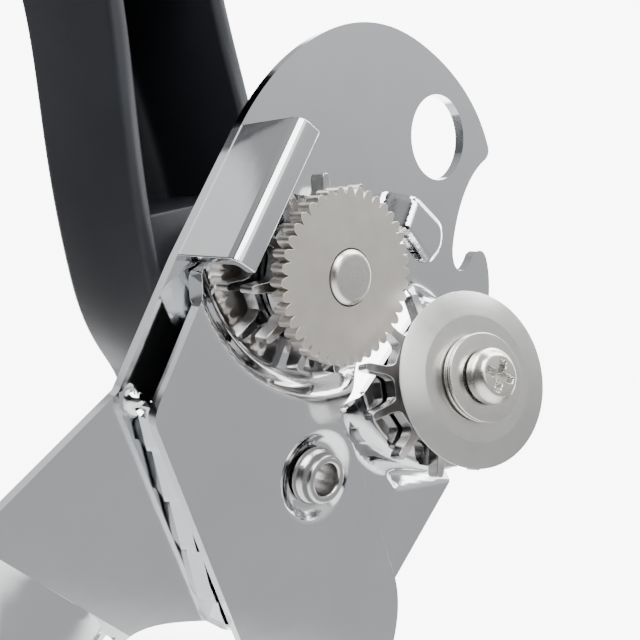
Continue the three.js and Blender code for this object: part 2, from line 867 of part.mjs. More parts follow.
function assemble() {
  const inside = new THREE.Group();
  const sleeveFront = CUP_LEVEL - SHEET - 6.4;
  const washerFront = sleeveFront - GAP;
  inside.add(
    piece('rear_arm', rearArm(), chrome),
    piece('pivot_rivet', pivotRivet(), chrome),
    piece('pivot_washer', pivotWasher(), zinc),
    piece('cutter_post', onCutterAxis(cutterPost()), darkSteel),
    piece('cutter_screw', onCutterAxis(cutterScrew()), zinc),
    piece('cutter_washer_outer', onCutterAxis(ring(POST_R + GAP, 5.6, 1.8, 2.3)), zinc),
    piece('cutter_washer_inner', onCutterAxis(ring(POST_R + GAP, 5.6, 1.0, 1.5)), zinc),
    piece('cutter_wheel', onCutterAxis(cutterWheel()), groundSteel),
    piece('cutter_spacer', onCutterAxis(ring(POST_R + GAP, 5.2, -5.6, -1.9)), darkSteel),
    piece('cutter_gear', onCutterAxis(cutterGear()), darkSteel),
    piece('front_arm', frontArm(), chrome),
    piece('shaft_bush', ring(SHAFT_R + GAP, BUSH_R, sleeveFront, CUP_LEVEL, FEED_X, FEED_Z), zinc),
    piece('gear_washer', ring(SHAFT_R + GAP, 7.5, -2.3, -1.7, FEED_X, FEED_Z), zinc),
    piece('crank_washer', ring(SHAFT_R + GAP, 7, washerFront - 1, washerFront, FEED_X, FEED_Z), zinc),
    piece(
      'crank_sleeve',
      ring(SHAFT_R + GAP, 5.6, KNOB_FRONT + GAP, washerFront - 1 - GAP, FEED_X, FEED_Z),
      zinc,
    ),
    piece('drive_shaft', driveShaft(), zinc),
    piece('feed_gear', feedGear(), darkSteel),
    piece('feed_wheel', feedWheel(), nickel),
    piece('crank_knob', crankKnob(), blackPlastic),
  );
  inside.position.copy(at(HOLE_X, HOLE_Z, HEAD_LEVEL)).negate();
  const whole = new THREE.Group();
  whole.add(inside);
  return whole;
}

export default assemble();
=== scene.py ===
"""Manual can opener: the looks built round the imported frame.

Lengths are in millimetres in the builders below. `at` turns them into the frame's metres: x to the
right of the pivot rivet, z above it, and fwd in front of the front arm, towards the wheels.
"""

import json
import math

import bmesh
import bpy
from mathutils import Matrix, Vector
from mathutils.geometry import delaunay_2d_cdt


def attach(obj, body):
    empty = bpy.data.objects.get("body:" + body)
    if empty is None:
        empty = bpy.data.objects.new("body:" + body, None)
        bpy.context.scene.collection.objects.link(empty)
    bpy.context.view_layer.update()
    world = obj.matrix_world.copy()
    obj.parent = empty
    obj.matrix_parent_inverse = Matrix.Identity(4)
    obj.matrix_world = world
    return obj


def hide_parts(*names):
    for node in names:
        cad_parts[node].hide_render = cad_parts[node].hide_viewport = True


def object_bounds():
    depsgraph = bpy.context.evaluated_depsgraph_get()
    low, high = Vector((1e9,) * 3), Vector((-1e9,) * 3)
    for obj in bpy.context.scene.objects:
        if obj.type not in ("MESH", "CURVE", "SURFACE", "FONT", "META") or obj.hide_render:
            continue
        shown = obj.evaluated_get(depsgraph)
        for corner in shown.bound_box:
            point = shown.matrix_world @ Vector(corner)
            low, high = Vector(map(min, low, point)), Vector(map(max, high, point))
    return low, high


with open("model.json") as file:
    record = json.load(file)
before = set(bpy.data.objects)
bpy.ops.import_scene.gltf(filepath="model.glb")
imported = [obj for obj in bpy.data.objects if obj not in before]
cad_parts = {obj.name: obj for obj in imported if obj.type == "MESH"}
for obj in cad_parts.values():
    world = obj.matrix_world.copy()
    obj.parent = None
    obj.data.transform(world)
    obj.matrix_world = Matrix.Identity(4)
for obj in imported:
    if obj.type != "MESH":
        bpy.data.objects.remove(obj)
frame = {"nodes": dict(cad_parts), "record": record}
cad_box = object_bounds()

MM = 0.001
SHEET = 1.5
JOINTS = {joint["name"]: joint for joint in frame["record"]["behaviour"]["joints"]}
PIVOT = Vector(JOINTS["arm_hinge"]["pos_m"])
CRANK = Vector(JOINTS["crank_spin"]["pos_m"])
CUTTER = Vector(JOINTS["cutter_spin"]["pos_m"])
CUTTER_AXIS = Vector(JOINTS["cutter_spin"]["axis"]).normalized()


def at(x, z, fwd):
    return PIVOT + Vector((x, -fwd, z)) * MM


def datum(point):
    """Millimetres x, z, fwd of a point of the frame."""
    d = (Vector(point) - PIVOT) / MM
    return d.x, d.z, -d.y


FEED_X, FEED_Z, _ = datum(CRANK)
CUTTER_X, CUTTER_Z, _ = datum(CUTTER)


def smooth(value, low, high):
    """0 below low, 1 above high, and an even curve between."""
    t = min(max((value - low) / (high - low), 0.0), 1.0)
    return t * t * (3 - 2 * t)


def axis_frame(origin, axis, across):
    """Frame whose Z runs along axis, and whose X leans towards across."""
    z = axis.normalized()
    y = z.cross(across).normalized()
    x = y.cross(z)
    rows = Matrix((x, y, z)).transposed().to_4x4()
    rows.translation = origin
    return rows


FORWARD = Vector((0, -1, 0))
CRANK_FRAME = axis_frame(CRANK, FORWARD, Vector((1, 0, 0)))
PIVOT_FRAME = axis_frame(PIVOT, FORWARD, Vector((1, 0, 0)))
TOWARDS_FEED = Vector((math.cos(math.radians(150)), 0, math.sin(math.radians(150))))
CUTTER_FRAME = axis_frame(CUTTER, CUTTER_AXIS, TOWARDS_FEED)
KEY_FRAME = CRANK_FRAME @ Matrix.Rotation(math.radians(118.6), 4, "Z")


# ---------------------------------------------------------------- shader building


class Value:
    """A number socket, so that shader maths reads as sums."""

    def __init__(self, finish, socket):
        self.finish = finish
        self.socket = socket

    def _with(self, operation, *others):
        return self.finish.node("ShaderNodeMath", {"operation": operation}, (self, *others))

    def __add__(self, other):
        return self._with("ADD", other)

    def __rsub__(self, other):
        return self.finish.node("ShaderNodeMath", {"operation": "SUBTRACT"}, (other, self))

    def __mul__(self, other):
        return self._with("MULTIPLY", other)

    __radd__ = __add__
    __rmul__ = __mul__

    def arctan2(self, other):
        return self._with("ARCTAN2", other)

    def root(self):
        return self._with("SQRT")

    def step(self, low, high):
        """0 below low, 1 above high."""
        ranged = {"interpolation_type": "SMOOTHSTEP", "clamp": True}
        inputs = {"Value": self, "From Min": low, "From Max": high}
        return self.finish.node("ShaderNodeMapRange", ranged, inputs)


class Finish:
    """One material and the nodes that make its surface."""

    def __init__(self, name):
        self.material = bpy.data.materials.new(name)
        self.material.use_nodes = True
        self.tree = self.material.node_tree
        self.shader = self.tree.nodes["Principled BSDF"]

    def node(self, kind, settings, inputs, output=0):
        """Adds a node: its settings first, then the values or links of its sockets."""
        made = self.tree.nodes.new(kind)
        for key, value in settings.items():
            setattr(made, key, value)
        named = inputs.items() if isinstance(inputs, dict) else enumerate(inputs)
        for key, value in named:
            self._feed(made.inputs[key], value)
        return Value(self, made.outputs[output])

    def _feed(self, socket, value):
        if isinstance(value, Value):
            self.tree.links.new(value.socket, socket)
        else:
            socket.default_value = value

    def set(self, **sockets):
        for name, value in sockets.items():
            self._feed(self.shader.inputs[name.replace("_", " ")], value)
        return self

    def place(self):
        """Position in the piece's own frame, in metres."""
        return self.node("ShaderNodeTexCoord", {}, (), "Object")

    def stretched(self, place, scale):
        return self.node("ShaderNodeVectorMath", {"operation": "MULTIPLY"}, (place, scale))

    def parts(self, place):
        split = self.tree.nodes.new("ShaderNodeSeparateXYZ")
        self._feed(split.inputs[0], place)
        return [Value(self, socket) for socket in split.outputs]

    def join(self, x, y, z):
        return self.node("ShaderNodeCombineXYZ", {}, (x, y, z))

    def grain(self, place, per_mm, detail=3.0, roughness=0.55):
        """Soft noise from 0 to 1, with so many blotches to the millimetre."""
        inputs = {
            "Vector": place,
            "Scale": per_mm * 1000,
            "Detail": detail,
            "Roughness": roughness,
        }
        return self.node("ShaderNodeTexNoise", {}, inputs)

    def shade(self, factor, first, second):
        """Colour between two, by a factor."""
        settings = {"data_type": "RGBA"}
        inputs = {0: factor, 6: (*first, 1), 7: (*second, 1)}
        return self.node("ShaderNodeMix", settings, inputs, 2)

    def bumps(self, height, strength, depth_mm):
        inputs = {"Height": height, "Strength": strength, "Distance": depth_mm * MM}
        self.set(Normal=self.node("ShaderNodeBump", {}, inputs))
        return self

    def along(self, place, direction):
        """How far a position lies along a direction."""
        settings = {"operation": "DOT_PRODUCT"}
        return self.node("ShaderNodeVectorMath", settings, (place, direction), "Value")

    def around(self, axis_frame):
        """Distance from an axis, the turn about it and the distance along it."""
        settings = {"operation": "SUBTRACT"}
        origin = tuple(axis_frame.translation)
        place = self.node("ShaderNodeVectorMath", settings, (self.place(), origin))
        x, y, z = [self.along(place, tuple(axis_frame.col[i][:3])) for i in range(3)]
        return (x * x + y * y).root(), y.arctan2(x), z


# ---------------------------------------------------------------- finishes


def bright_plating():
    """Mirror plating over rolled sheet, with fine wipe marks."""
    made = Finish("bright_plating")
    place = made.place()
    clouds = made.grain(place, 0.09, 3)
    wiped = made.grain(made.stretched(place, (1, 1, 0.12)), 2.2, 4)
    haze = made.grain(place, 1.1, 5, 0.7)
    marks = wiped.step(0.58, 0.74) * 0.05
    made.set(
        Base_Color=made.shade(clouds, (0.60, 0.61, 0.625), (0.69, 0.70, 0.71)),
        Metallic=1.0,
        Roughness=0.05 + clouds * 0.04 + haze * 0.035 + marks,
    )
    return made.bumps(clouds * 0.7 + haze * 0.02, 0.25, 0.25).material


def satin_nickel():
    """Blasted and plated steel: an even satin with fine pits."""
    made = Finish("satin_nickel")
    place = made.place()
    mottle = made.grain(place, 0.5, 4)
    pits = made.grain(place, 9, 3, 0.7)
    made.set(
        Base_Color=made.shade(mottle, (0.67, 0.63, 0.585), (0.79, 0.75, 0.705)),
        Metallic=1.0,
        Roughness=0.26 + mottle * 0.1 + pits * 0.06,
    )
    return made.bumps(pits, 0.35, 0.03).material


def turned_steel(name, axis, light, dark, rough, rings_per_mm, streaks):
    """Lathe-turned metal: fine rings round an axis, and streaks across them."""
    made = Finish(name)
    radius, turn, depth = made.around(axis)
    rings = made.grain(made.join(radius, depth, 0.0), rings_per_mm, 4, 0.7)
    rays = made.grain(made.join(turn * 0.004, radius * 0.05, 0.0), streaks, 3, 0.6)
    mottle = made.grain(made.place(), 0.35, 3)
    made.set(
        Base_Color=made.shade(rings * 0.5 + mottle * 0.5, dark, light),
        Metallic=1.0,
        Roughness=rough + rings * 0.1 + rays * 0.12 + mottle * 0.05,
    )
    return made.bumps(rings + rays * 0.5, 0.3, 0.02).material


def gear_steel():
    """Stamped and plated teeth: smooth, a little darker, with dull patches."""
    made = Finish("gear_steel")
    place = made.place()
    dull = made.grain(place, 0.6, 4)
    fine = made.grain(place, 6, 3)
    made.set(
        Base_Color=made.shade(dull, (0.44, 0.43, 0.43), (0.60, 0.59, 0.585)),
        Metallic=1.0,
        Roughness=0.14 + dull * 0.14 + fine * 0.04,
    )
    return made.bumps(fine + dull, 0.2, 0.03).material


def moulded_black():
    """Black moulded plastic with a fine spark-eroded grain and faint flow marks."""
    made = Finish("moulded_black")
    place = made.place()
    grain = made.grain(place, 7, 2, 0.6)
    flow = made.grain(made.stretched(place, (1, 0.35, 0.35)), 0.12, 3)
    dust = made.grain(place, 1.4, 5, 0.75).step(0.62, 0.8)
    colour = made.shade(flow * 0.6 + dust * 0.5, (0.007, 0.008, 0.011), (0.022, 0.025, 0.032))
    made.set(Base_Color=colour, Roughness=0.36 + grain * 0.1 + flow * 0.14, IOR=1.49)
    return made.bumps(grain, 0.25, 0.04).material


PLATING = bright_plating()
NICKEL = satin_nickel()
GEAR_STEEL = gear_steel()
BLACK = moulded_black()
CUTTER_STEEL = turned_steel(
    "ground_steel", CUTTER_FRAME, (0.70, 0.69, 0.67), (0.55, 0.54, 0.53), 0.17, 7, 1.6
)
CUTTER_ZINC = turned_steel(
    "bright_zinc", CUTTER_FRAME, (0.74, 0.73, 0.69), (0.58, 0.57, 0.54), 0.13, 3, 1.0
)
SHAFT_ZINC = turned_steel(
    "shaft_zinc", CRANK_FRAME, (0.72, 0.71, 0.68), (0.56, 0.55, 0.53), 0.15, 3, 1.0
)


# ---------------------------------------------------------------- mesh building


def piece(name, mesh, material, body, stands_for, sharp=35.0):
    """Makes the object, shades it smooth up to an angle and hands it to its body."""
    mesh.materials.append(material)
    mesh.shade_smooth()
    mesh.set_sharp_from_angle(angle=math.radians(sharp))
    made = bpy.data.objects.new(name, mesh)
    bpy.context.scene.collection.objects.link(made)
    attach(made, body)
    slots = [s["material_slot"] for s in frame["record"]["subparts"] if s["node"] in stands_for]
    if slots:
        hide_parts(*stands_for)
    return made


def mesh_of(name, vertices, faces):
    mesh = bpy.data.meshes.new(name)
    mesh.from_pydata([tuple(v) for v in vertices], [], faces)
    build = bmesh.new()
    build.from_mesh(mesh)
    bmesh.ops.remove_doubles(build, verts=build.verts, dist=1e-7)
    bmesh.ops.recalc_face_normals(build, faces=build.faces)
    build.to_mesh(mesh)
    build.free()
    mesh.validate()
    return mesh


def arc(cx, cy, radius, start, end, steps):
    """Points on an arc, angles in degrees."""
    angles = [math.radians(start + (end - start) * i / steps) for i in range(steps + 1)]
    return [(cx + radius * math.cos(a), cy + radius * math.sin(a)) for a in angles]


def curve(*corners, steps=10):
    """Points on a Bezier curve with two, three or four corners."""
    points = []
    for i in range(steps + 1):
        t = i / steps
        row = [Vector(corner) for corner in corners]
        while len(row) > 1:
            row = [a.lerp(b, t) for a, b in zip(row, row[1:])]
        points.append(tuple(row[0]))
    return points


def rounded(points, steps=4):
    """Closed outline whose corners are rounded: each point is (x, y) or (x, y, radius)."""
    made = []
    count = len(points)
    for i, point in enumerate(points):
        corner = Vector(point[:2])
        radius = point[2] if len(point) > 2 else 0
        if not radius:
            made.append(tuple(corner))
            continue
        before = Vector(points[i - 1][:2]) - corner
        after = Vector(points[(i + 1) % count][:2]) - corner
        reach = min(radius, before.length * 0.49, after.length * 0.49)
        start = corner + before.normalized() * reach
        end = corner + after.normalized() * reach
        made += curve(start, corner, end, steps=steps)
    return made


def filleted(profile, steps=3):
    """Open profile whose inner corners are rounded: points are (radius, level[, fillet])."""
    made = [profile[0][:2]]
    for before, point, after in zip(profile, profile[1:], profile[2:]):
        corner = Vector(point[:2])
        size = point[2] if len(point) > 2 else 0
        if not size:
            made.append(tuple(corner))
            continue
        back = Vector(before[:2]) - corner
        on = Vector(after[:2]) - corner
        reach = min(size, back.length * 0.49, on.length * 0.49)
        start = corner + back.normalized() * reach
        end = corner + on.normalized() * reach
        made += curve(start, corner, end, steps=steps)
    return made + [profile[-1][:2]]


def turned(name, profile, place, material, body, stands_for, closed=True, segments=96):
    """Body turned about its own Z axis, which place sets in the frame; profile in millimetres."""
    points = filleted([*profile, profile[0]] if closed else profile)
    if closed:
        points = points[:-1]
    vertices, faces = [], []
    count = len(points)
    for i in range(segments):
        turn = math.tau * i / segments
        for radius, level in points:
            x, y = radius * math.cos(turn), radius * math.sin(turn)
            vertices.append(Vector((x, y, level)) * MM)
    for i in range(segments):
        a, b = i * count, ((i + 1) % segments) * count
        for j in range(count if closed else count - 1):
            k = (j + 1) % count
            faces.append((a + j, a + k, b + k, b + j))
    mesh = mesh_of(name, vertices, faces)
    mesh.transform(place)
    return piece(name, mesh, material, body, stands_for)


def prism(name, outline, bore, low, high, place, material, body, stands_for, bevel=0.15):
    """Flat toothed piece about its own Z axis, with a round bore and softened edges."""
    build = bmesh.new()
    rings = []
    for loop in (outline, bore):
        rings.append([build.verts.new((x * MM, y * MM, low * MM)) for x, y in loop])
    edges = []
    for ring in rings:
        for a, b in zip(ring, ring[1:] + ring[:1]):
            edges.append(build.edges.new((a, b)))
    bmesh.ops.triangle_fill(build, use_beauty=True, use_dissolve=False, edges=edges)
    faces = list(build.faces)
    raised = bmesh.ops.extrude_face_region(build, geom=faces)
    lifted = [v for v in raised["geom"] if isinstance(v, bmesh.types.BMVert)]
    bmesh.ops.translate(build, verts=lifted, vec=(0, 0, (high - low) * MM))
    bmesh.ops.recalc_face_normals(build, faces=build.faces)
    mesh = bpy.data.meshes.new(name)
    build.to_mesh(mesh)
    build.free()
    mesh.transform(place)
    made = piece(name, mesh, material, body, stands_for)
    soften(made, bevel)
    return made


def soften(made, width, segments=3, angle=40.0):
    edge = made.modifiers.new("soft_edges", "BEVEL")
    edge.width = width * MM
    edge.segments = segments
    edge.limit_method = "ANGLE"
    edge.angle_limit = math.radians(angle)
    edge.harden_normals = True
    edge.miter_outer = "MITER_ARC"


def circle(x, z, radius, steps):
    return arc(x, z, radius, 0, 360, steps)[:-1]


# ---------------------------------------------------------------- pressed sheet


def inside(point, loop):
    x, y = point
    within = False
    for (ax, ay), (bx, by) in zip(loop, loop[1:] + loop[:1]):
        if (ay > y) != (by > y) and x < (bx - ax) * (y - ay) / (by - ay) + ax:
            within = not within
    return within


def resampled(loop, step):
    """The loop with its long edges cut up, so that pressed shapes reach its rim."""
    made = []
    for a, b in zip(loop, loop[1:] + loop[:1]):
        a, b = Vector(a), Vector(b)
        parts = max(1, round((b - a).length / step))
        made += [tuple(a.lerp(b, i / parts)) for i in range(parts)]
    return made


class Nearness:
    """Finds out quickly whether a rim point lies close by."""

    def __init__(self, points, cell):
        self.cell = cell
        self.cells = {}
        for x, y in points:
            self.cells.setdefault((math.floor(x / cell), math.floor(y / cell)), []).append((x, y))

    def close(self, x, y, margin):
        cx, cy = math.floor(x / self.cell), math.floor(y / self.cell)
        for i in (cx - 1, cx, cx + 1):
            for j in (cy - 1, cy, cy + 1):
                for px, py in self.cells.get((i, j), ()):
                    if (px - x) ** 2 + (py - y) ** 2 < margin * margin:
                        return True
        return False


def row_spans(loops, z):
    """The stretches of x inside the sheet at one height."""
    crossings = []
    for loop in loops:
        for (ax, az), (bx, bz) in zip(loop, loop[1:] + loop[:1]):
            if (az > z) != (bz > z):
                crossings.append(ax + (bx - ax) * (z - az) / (bz - az))
    crossings.sort()
    return list(zip(crossings[::2], crossings[1::2]))


def pressed_sheet(name, rim, holes, level, step, body, stands_for, edge=0.22):
    """Sheet metal of one thickness: an outline with holes, pressed to a level at every point."""
    loops = [resampled(rim, step), *[resampled(hole, step * 0.8) for hole in holes]]
    points = [p for loop in loops for p in loop]
    edges, start = [], 0
    for loop in loops:
        edges += [(start + i, start + (i + 1) % len(loop)) for i in range(len(loop))]
        start += len(loop)
    near = Nearness(points, step)
    zs = [p[1] for p in loops[0]]
    z = min(zs) + step / 2
    odd = False
    while z < max(zs):
        for low, high in row_spans(loops, z):
            x = math.ceil(low / step) * step + (step / 2 if odd else 0)
            while x < high:
                if not near.close(x, z, step * 0.55):
                    points.append((x, z))
                x += step
        z += step * 0.866
        odd = not odd
    flat, _, faces = delaunay_2d_cdt([Vector(p) for p in points], edges, [], 1, 1e-6, False)[:3]
    kept = []
    for face in faces:
        middle = sum((flat[i] for i in face), Vector((0, 0))) / len(face)
        if not any(inside(middle, hole) for hole in loops[1:]) and inside(middle, loops[0]):
            kept.append(face)
    front = [at(p.x, p.y, level(p.x, p.y)) for p in flat]
    back = [v - slope_normal(level, p.x, p.y) * SHEET * MM for v, p in zip(front, flat)]
    made = piece(name, two_faced(name, front, back, kept), PLATING, body, stands_for, sharp=60)
    soften(made, edge, 2, 60)
    return made


def slope_normal(level, x, z, reach=0.12):
    """Outward direction of the pressed face at one point."""
    rise_x = (level(x + reach, z) - level(x - reach, z)) / (2 * reach)
    rise_z = (level(x, z + reach) - level(x, z - reach)) / (2 * reach)
    if math.hypot(rise_x, rise_z) > 6:
        rise_x = rise_z = 0
    return Vector((-rise_x, -1, -rise_z)).normalized()


def two_faced(name, front, back, faces):
    """Closed mesh from a front skin and a back skin with the same faces, joined at the rim."""
    count = len(front)
    used = {}
    for face in faces:
        for a, b in zip(face, [*face[1:], face[0]]):
            used[(a, b)] = True
    all_faces = [tuple(face) for face in faces]
    all_faces += [tuple(i + count for i in reversed(face)) for face in faces]
    all_faces += [(b, a, a + count, b + count) for a, b in used if (b, a) not in used]
    mesh = bpy.data.meshes.new(name)
    mesh.from_pydata([tuple(v) for v in [*front, *back]], [], all_faces)
    build = bmesh.new()
    build.from_mesh(mesh)
    loose = [v for v in build.verts if not v.link_faces]
    bmesh.ops.delete(build, geom=loose, context="VERTS")
    bmesh.ops.recalc_face_normals(build, faces=build.faces)
    build.to_mesh(mesh)
    build.free()
    return mesh


def off_line(x, z, start, end):
    """Signed distance from the line through two points, positive on its left."""
    dx, dz = end[0] - start[0], end[1] - start[1]
    return (dx * (z - start[1]) - dz * (x - start[0])) / math.hypot(dx, dz)


def off_path(x, z, path):
    """Distance from a path of points."""
    best = 1e9
    for (ax, az), (bx, bz) in zip(path, path[1:]):
        dx, dz = bx - ax, bz - az
        t = min(max(((x - ax) * dx + (z - az) * dz) / (dx * dx + dz * dz), 0), 1)
        best = min(best, math.hypot(x - ax - t * dx, z - az - t * dz))
    return best


# ---------------------------------------------------------------- rear arm

HEAD = -4.5
PLATEAU = -2.0
DIMPLE_R = 5.8
DIMPLE_DEEP = 1.2
HANDLE_W = 18.0
REAR_HANDLE_X = -29.5
FRONT_HANDLE_X = 13.5
HANDLE_FOOT = -117.0
HOLE = (13.9, 49.9)
HOLE_R = 6.1
RIVET_HOLE_R = 2.9
SLOT_HALF = 4.7
SEAT_AXIS_AT = -8.7
SEAT_R = 11.6
SEAT_FOOT_R = 13.6
SHEAR = 7.5

seat_x, seat_z, seat_fwd = datum(CUTTER + CUTTER_AXIS * SEAT_AXIS_AT * MM)
lean = Vector((CUTTER_AXIS.x, CUTTER_AXIS.z))
slope_x = -lean.x / -CUTTER_AXIS.y
slope_z = -lean.y / -CUTTER_AXIS.y
shear_dir = Vector((-lean.y, lean.x)).normalized()
shear_at = Vector((seat_x, seat_z)) + lean.normalized() * SHEAR

PLATEAU_RIM = [(-25, 5.6), (-19, 3.6), (-11, 3.9), (-5, 7.6), (4.5, 8.9), (18.5, -1), (40, 2.5)]


def dimple(x, z):
    return DIMPLE_DEEP * (1 - smooth(math.hypot(x, z), DIMPLE_R - 1.7, DIMPLE_R + 0.3))


def past_shear(x, z):
    """Distance towards the feed wheel from the seat's sheared side."""
    return (Vector((x, z)) - shear_at).dot(lean.normalized())


def seat_plane(x, z):
    return seat_fwd + slope_x * (x - seat_x) + slope_z * (z - seat_z)


def rear_level(x, z):
    """Front face of the rear arm: flat head, raised seat at the pivot, leaning cutter seat."""
    on_plateau = inside((x, z), PLATEAU_POLYGON)
    away = off_path(x, z, PLATEAU_RIM) * (1 if on_plateau else -1)
    base = HEAD + (PLATEAU - HEAD) * smooth(away, -1.4, 0.6)
    base -= dimple(x, z)
    if past_shear(x, z) > 0:
        return base
    reach = math.hypot(x - seat_x, z - seat_z)
    share = 1 - smooth(reach, SEAT_R - 0.6, SEAT_FOOT_R + 0.4)
    return base + (seat_plane(x, z) - base) * share


PLATEAU_POLYGON = [*PLATEAU_RIM, (40, -40), (-4, -40), (-8, -19)]


def rear_rim():
    rim = [(-27.0, 6.1), (-24.1, 21.2), (-20.2, 36.9)]
    rim += curve((-20.2, 36.9), (-18.2, 46), (-10.5, 60.6), (6, 60.6), steps=28)[1:]
    rim += curve((6, 60.6), (15.5, 60.6), (22.0, 57.6), (26.2, 53.2), steps=18)[1:]
    rim += curve((26.2, 53.2), (27.0, 52.2), (26.0, 51.0), steps=5)[1:]
    rim += curve((26.0, 51.0), (22.6, 47.4), (21.9, 42), (22.4, 37.6), steps=14)[1:]
    rim += curve((22.4, 37.6), (22.6, 34.6), (23.8, 32.8), (25.6, 32.8), steps=8)[1:]
    rim += curve((25.6, 32.8), (27.6, 32.9), (28.2, 36.2), steps=6)[1:]
    rim += curve((28.2, 36.2), (30.0, 38.2), (31.8, 36.6), steps=6)[1:]
    rim += curve((31.8, 36.6), (35.6, 32.5), (36.2, 25), (35.6, 18), steps=14)[1:]
    rim += curve((35.6, 18), (35.2, 11.5), (34.6, 6), (31.6, 1.6), steps=12)[1:]
    rim += [(22.4, -14.2)]
    rim += curve((22.4, -14.2), (21.0, -17.4), (18.6, -19.4), steps=5)[1:]
    rim += curve((18.6, -19.4), (10, -22.4), (-2, -20.2), (-8, -19.0), steps=14)[1:]
    rim += curve((-8.0, -19.0), (-13.7, -18.7), (-16.5, -18.7), (-18.6, -19.9), steps=8)[1:]
    rim += [(-37.4, -9.8)]
    rim += curve((-37.4, -9.8), (-37.0, -8.0), (-36.0, -6.5), steps=5)[1:]
    return rim


def shear_slit():
    """Thin cut beside the leaning seat."""
    half = math.sqrt(SEAT_FOOT_R**2 - SHEAR**2)
    side = lean.normalized() * 0.12
    low, high = shear_at - shear_dir * half, shear_at + shear_dir * half
    if low.y > high.y:
        low, high = high, low
    return [tuple(low - side), tuple(high - side), tuple(high + side), tuple(low + side)]


def crank_slot():
    """Arc-shaped slot, in which the crank's bush swings with the front arm."""
    reach = math.hypot(FEED_X, FEED_Z)
    rest = math.degrees(math.atan2(FEED_Z, FEED_X))
    end = rest + JOINTS["arm_hinge"]["range_deg"][1]
    x, z = reach * math.cos(math.radians(end)), reach * math.sin(math.radians(end))
    slot = arc(0, 0, reach + SLOT_HALF, rest, end, 4) + arc(x, z, SLOT_HALF, end, end + 180, 14)
    slot += arc(0, 0, reach - SLOT_HALF, end, rest, 4)
    slot += arc(FEED_X, FEED_Z, SLOT_HALF, rest + 180, rest + 360, 14)
    return [p for p, q in zip(slot, slot[1:] + slot[:1]) if math.dist(p, q) > 1e-3]


def guide_window():
    """Window that the rim guide was raised out of."""
    return rounded(
        [(5.6, 34.2, 0.6), (12.4, 31.4, 1), (14.2, 33.6, 1), (13.4, 36.0, 1), (6.2, 37.6, 0.6)]
    )


def rear_sheet():
    holes = [circle(*HOLE, HOLE_R, 56), shear_slit(), crank_slot(), guide_window()]
    holes.append(circle(0, 0, RIVET_HOLE_R, 24))
    stands_for = ["rear_arm"]
    return pressed_sheet("rear_plate", rear_rim(), holes, rear_level, 0.62, "rear", stands_for)


# ---------------------------------------------------------------- front arm

CUP = (-6.0, 30.0)
CUP_FLOOR = -2.6
CUP_RIM_R = 20.9
CUP_FLOOR_R = 18.2
BUSH_HOLE_R = 4.6


def front_level(x, z):
    reach = math.hypot(x - CUP[0], z - CUP[1])
    pressed = 1 - smooth(reach, CUP_FLOOR_R - 0.3, CUP_RIM_R + 0.3)
    return CUP_FLOOR * pressed - dimple(x, z)


def front_rim():
    inner = FRONT_HANDLE_X - HANDLE_W / 2
    outer = FRONT_HANDLE_X + HANDLE_W / 2
    rim = [(-21.8, 20.6), (-22.8, 16.4), (-24.2, 8.7)]
    rim += curve((-24.2, 8.7), (-24.9, 5.4), (-25.1, 4.5), (-24.3, 3.4), steps=5)[1:]
    rim += [(-6.7, -19.5)]
    rim += curve((-6.7, -19.5), (3.0, -31.8), (inner, -33.5), (inner, -38), steps=14)[1:]
    rim += [(outer, -38), (outer, -22.5)]
    rim += curve((outer, -22.5), (outer, -17.2), (19.8, -13.4), steps=10)[1:]
    rim += [(4.8, 4.7)]
    rim += curve((4.8, 4.7), (3.6, 6.2), (1.3, 8.2), steps=4)[1:]
    rim += [(6.5, 18.0), (7.4, 20.2)]
    rim += curve((7.4, 20.2), (8.4, 24), (6.5, 31.5), (-3, 33), steps=14)[1:]
    rim += curve((-3, 33), (-9, 33.9), (-13.6, 31.9), steps=8)[1:]
    return rim


def front_sheet():
    holes = [circle(0, 0, RIVET_HOLE_R, 24), circle(FEED_X, FEED_Z, BUSH_HOLE_R, 40)]
    stands_for = ["front_arm"]
    return pressed_sheet("front_plate", front_rim(), holes, front_level, 0.6, "front", stands_for)


# ---------------------------------------------------------------- handles


def channel(name, body, middle, crown, neck, length_steps=26):
    """Channel handle, open at the back: it grows out of the flat neck and ends round."""
    half = HANDLE_W / 2
    across = 28
    rows = []
    top = (neck[0][1] + neck[1][1]) / 2
    for step in range(length_steps + 1):
        t = step / length_steps
        z = top + (HANDLE_FOOT + 0.4 - top) * t**1.25
        grown = smooth(t, 0.0, 0.22)
        foot = max(0.0, (HANDLE_FOOT + half - z) / half)
        narrow = math.sqrt(max(0.0, 1 - foot * foot))
        row = []
        for i in range(across + 1):
            s = 2 * i / across - 1
            turn = math.radians(90 - 90 * s * 0.999)
            bow_x = middle + half * narrow * max(-1, min(1, 1.06 * math.cos(turn)))
            bow_z = crown - (1 - math.sin(turn)) * 7.4 - (3.0 * smooth(abs(s), 0.86, 1.0))
            bow_z -= 2.0 * foot * foot
            start, end = Vector(neck[0]), Vector(neck[1])
            flat = start.lerp(end, (s + 1) / 2)
            x = flat.x * (1 - grown) + bow_x * grown
            height = flat.y * (1 - smooth(t, 0.0, 0.16)) + z * smooth(t, 0.0, 0.16)
            level = neck[2] * (1 - grown) + bow_z * grown
            row.append(at(x, height, level))
        rows.append(row)
    faces = []
    width = across + 1
    for r in range(len(rows) - 1):
        for i in range(across):
            a = r * width + i
            faces.append((a, a + 1, a + 1 + width, a + width))
    front = [v for row in rows for v in row]
    back = []
    for r, row in enumerate(rows):
        back += [v - skin_normal(rows, r, i) * SHEET * MM for i, v in enumerate(row)]
    made = piece(name, two_faced(name, front, back, faces), PLATING, body, [], sharp=60)
    soften(made, 0.25, 2, 60)
    return made


